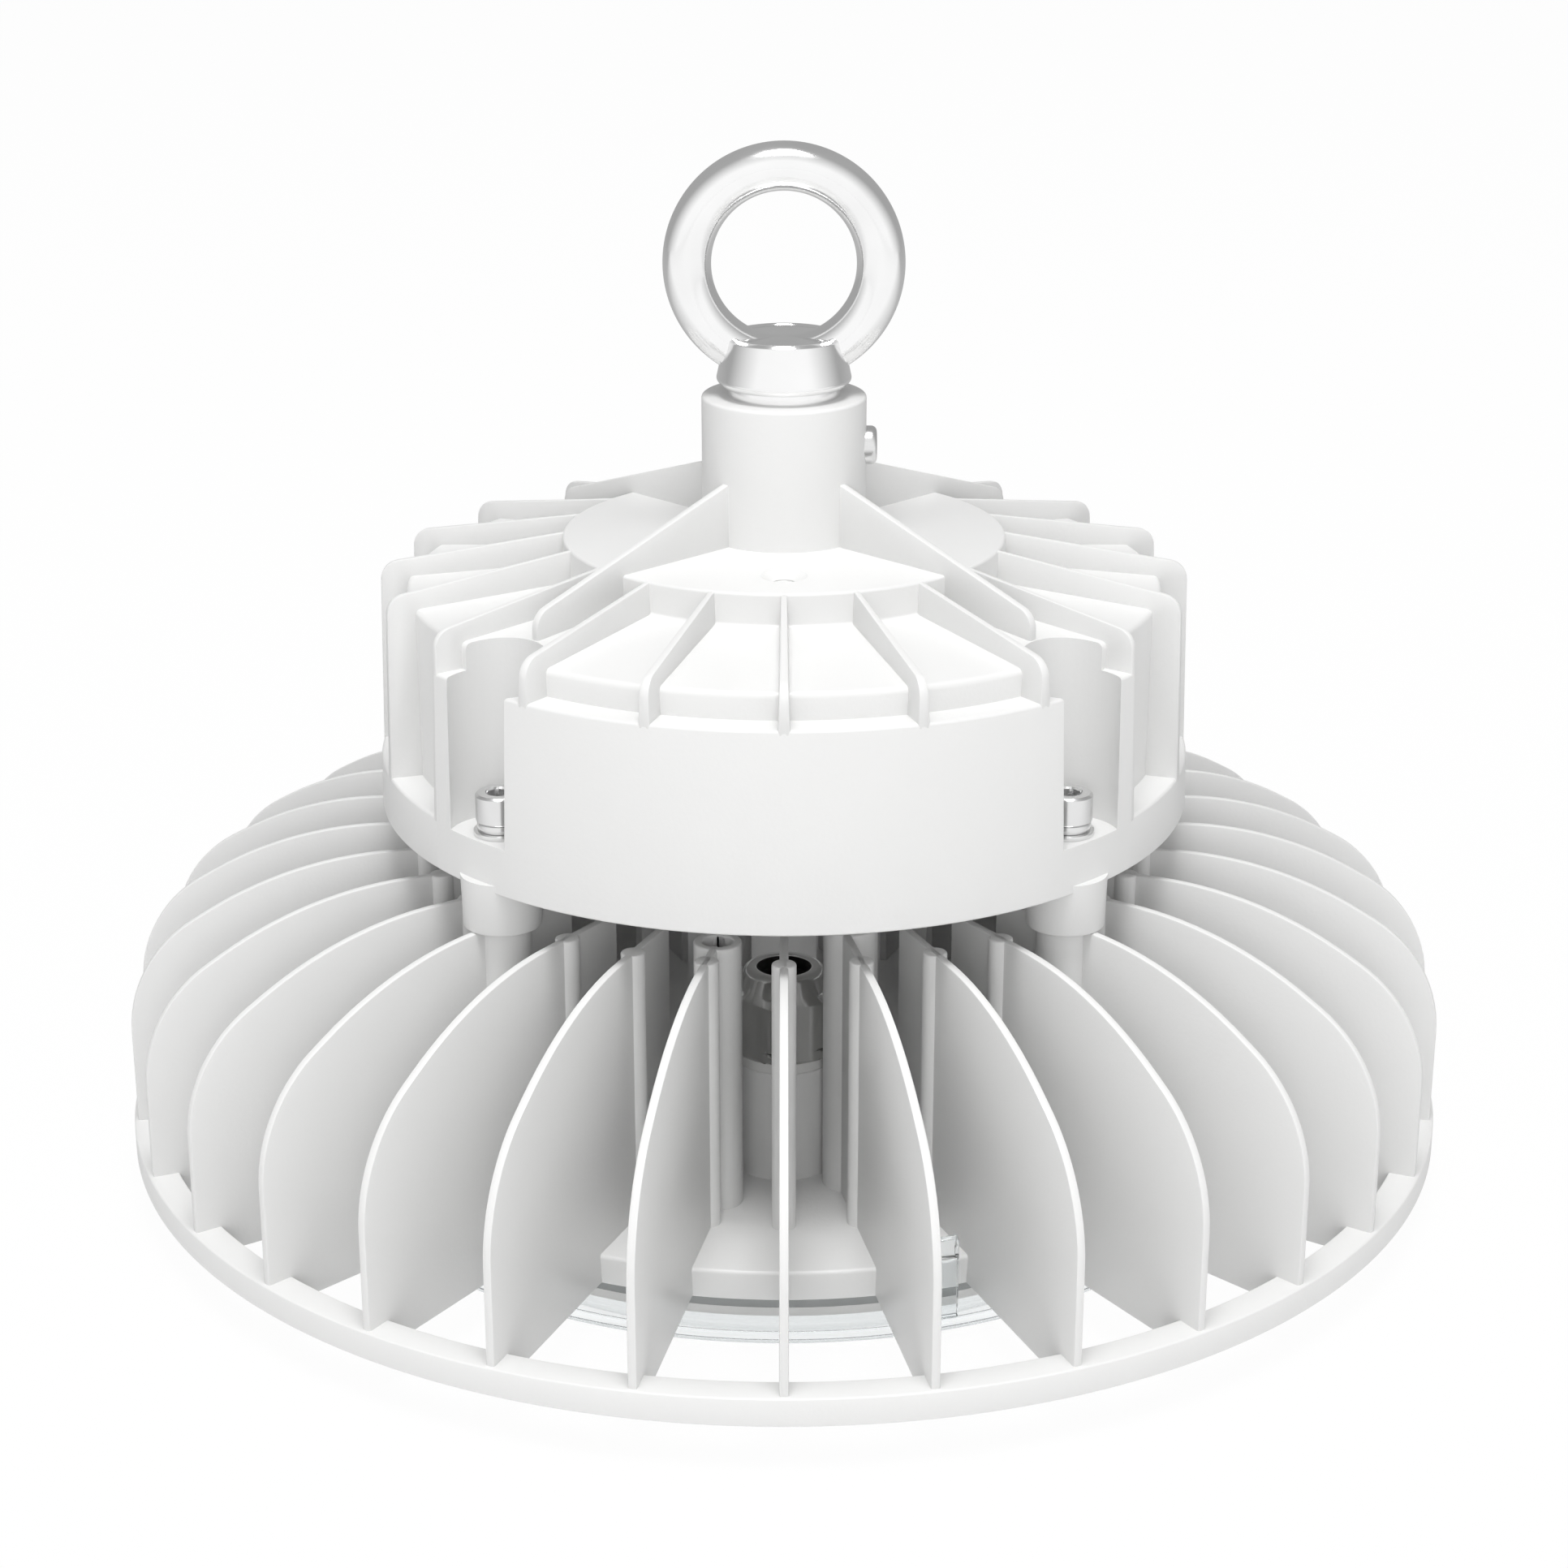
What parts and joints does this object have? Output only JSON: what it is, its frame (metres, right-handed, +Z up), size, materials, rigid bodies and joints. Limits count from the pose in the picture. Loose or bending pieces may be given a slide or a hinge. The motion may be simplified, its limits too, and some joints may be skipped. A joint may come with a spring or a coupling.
{
  "type": "high bay light",
  "caption": "Round LED high bay light: radial finned heatsink with a clear lens below, ribbed driver housing on columns above it, cable gland between them and a lifting eye on top.",
  "frame": {"origin": "on the light's axis, at the underside of the lens cover, which is its lowest face", "axes": "+Z up along the light's axis towards the eye bolt, front with the cable gland towards -Y, +X to the right seen from the front"},
  "size_m": [0.34, 0.34, 0.2619],
  "materials": {
    "heatsink_coat": "white powder coat on die-cast aluminium, satin",
    "housing_coat": "white powder coat on die-cast aluminium, satin",
    "plate_coat": "white powder coat, satin",
    "board_mask": "white solder mask on a metal-core board",
    "pad_grey": "soft grey thermal pad",
    "led_package": "yellow phosphor in small packages",
    "steel_screw": "zinc plated",
    "white_plastic": "moulded nylon",
    "clear_optic": "clear polycarbonate",
    "grey_rubber": "grey silicone rubber",
    "clear_cover": "clear polycarbonate",
    "black_rubber": "black rubber",
    "nickel": "bright nickel plating on brass",
    "driver_case": "dark potting compound in its case",
    "bright_steel": "bright stainless steel, satin",
    "eye_steel": "forged stainless steel, satin"
  },
  "bodies": {
    "root": {"heatsink": "heatsink_coat", "thermal_pad": "pad_grey", "led_board": "board_mask", "led_chips": "led_package", "board_screws": "steel_screw", "terminal_block": "white_plastic", "optic_plate": "clear_optic", "lens_gasket": "grey_rubber", "lens_cover": "clear_cover", "gland_washer": "black_rubber", "gland_body": "nickel", "gland_seal": "black_rubber", "gland_cap_nut": "nickel", "driver_housing": "housing_coat", "vent_plug": "white_plastic", "driver_unit": "driver_case", "driver_base_plate": "plate_coat", "driver_gasket": "grey_rubber", "driver_plate_screws": "steel_screw", "cable_bush": "black_rubber", "flat_washers": "bright_steel", "spring_washers": "bright_steel", "mounting_screws": "bright_steel", "eye_bolt": "eye_steel", "stem_lock_screw": "bright_steel"}
  },
  "joints": []
}
